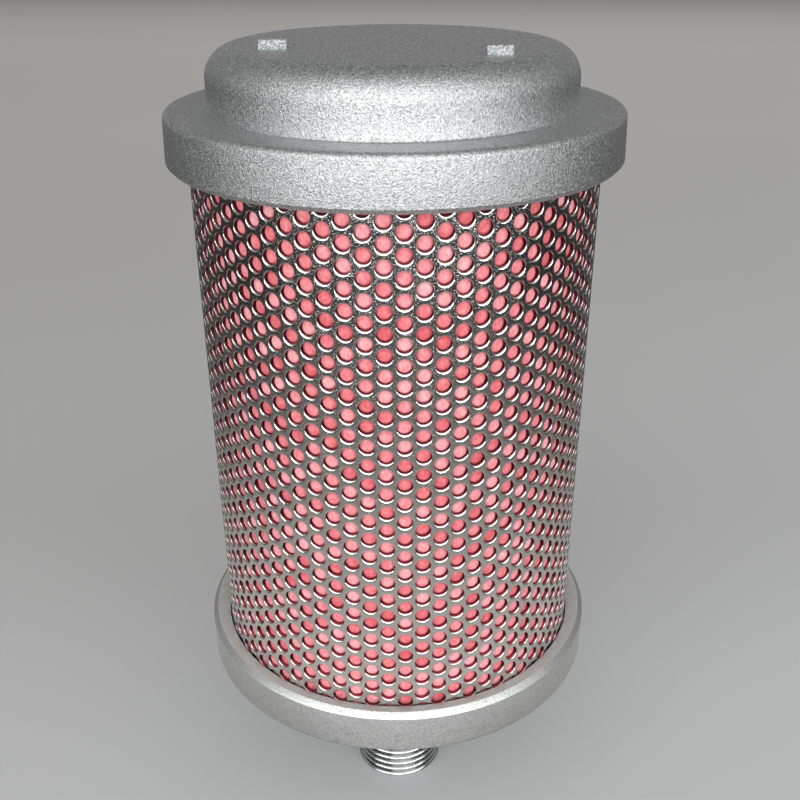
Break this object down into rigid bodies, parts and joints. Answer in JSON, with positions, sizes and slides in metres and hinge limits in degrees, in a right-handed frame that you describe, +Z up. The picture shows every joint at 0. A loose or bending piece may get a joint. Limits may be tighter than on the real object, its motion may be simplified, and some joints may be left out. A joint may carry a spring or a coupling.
{
  "type": "pneumatic muffler",
  "caption": "Screw-in exhaust muffler for compressed air: perforated metal tube over pink felt between cast end caps, with a threaded nipple; the top cap unscrews.",
  "frame": {"origin": "on the axis, at the open end of the threaded nipple, the lowest point of the part", "axes": "+Z up along the axis from the nipple to the domed cap; -Y faces the viewer of the picture, +X to the viewer's right"},
  "size_m": [0.0884, 0.0884, 0.1782],
  "materials": {
    "cast_aluminium": "shot-blasted casting",
    "perforated_steel": "bright perforated sheet",
    "plain_steel": "turned, zinc plated",
    "chromed_steel": "bright plated",
    "pink_felt": "wool felt",
    "grey_felt": "pressed felt",
    "seal_rubber": "moulded",
    "seal_fibre": "pressed fibre sealing ring"
  },
  "bodies": {
    "housing": {"inlet_nipple": "chromed_steel", "nipple_sealing_washer": "seal_fibre", "bottom_cap": "cast_aluminium", "nipple_lock_washer": "plain_steel", "nipple_lock_nut": "plain_steel", "bottom_felt_pad": "grey_felt", "bottom_gasket": "seal_rubber", "core_bottom_plate": "plain_steel", "diffuser_pipe": "plain_steel", "pipe_end_stud": "plain_steel", "core_tube": "perforated_steel", "felt_inner_wrap": "pink_felt", "felt_outer_wrap": "pink_felt", "core_top_plate": "plain_steel", "core_washer": "plain_steel", "core_lock_nut": "plain_steel", "outer_perforated_tube": "perforated_steel"},
    "cap_gasket": {"top_gasket": "seal_rubber"},
    "screw_cap": {"top_cap": "cast_aluminium", "cap_thread_insert": "plain_steel", "top_felt_pad": "grey_felt"}
  },
  "joints": [
    {"name": "cap_lift", "type": "slide", "parent": "housing", "child": "cap_gasket", "axis": [0, 0, 1], "range_m": [0, 0.00702]},
    {"name": "cap_unscrew", "type": "hinge", "parent": "cap_gasket", "child": "screw_cap", "pos_m": [0, 0, 0.16], "axis": [0, 0, 1], "range_deg": [0, 1440]}
  ],
  "couplings": [
    {"joint": "cap_lift", "follows": "cap_unscrew", "m_per_rad": 0.00027852}
  ]
}
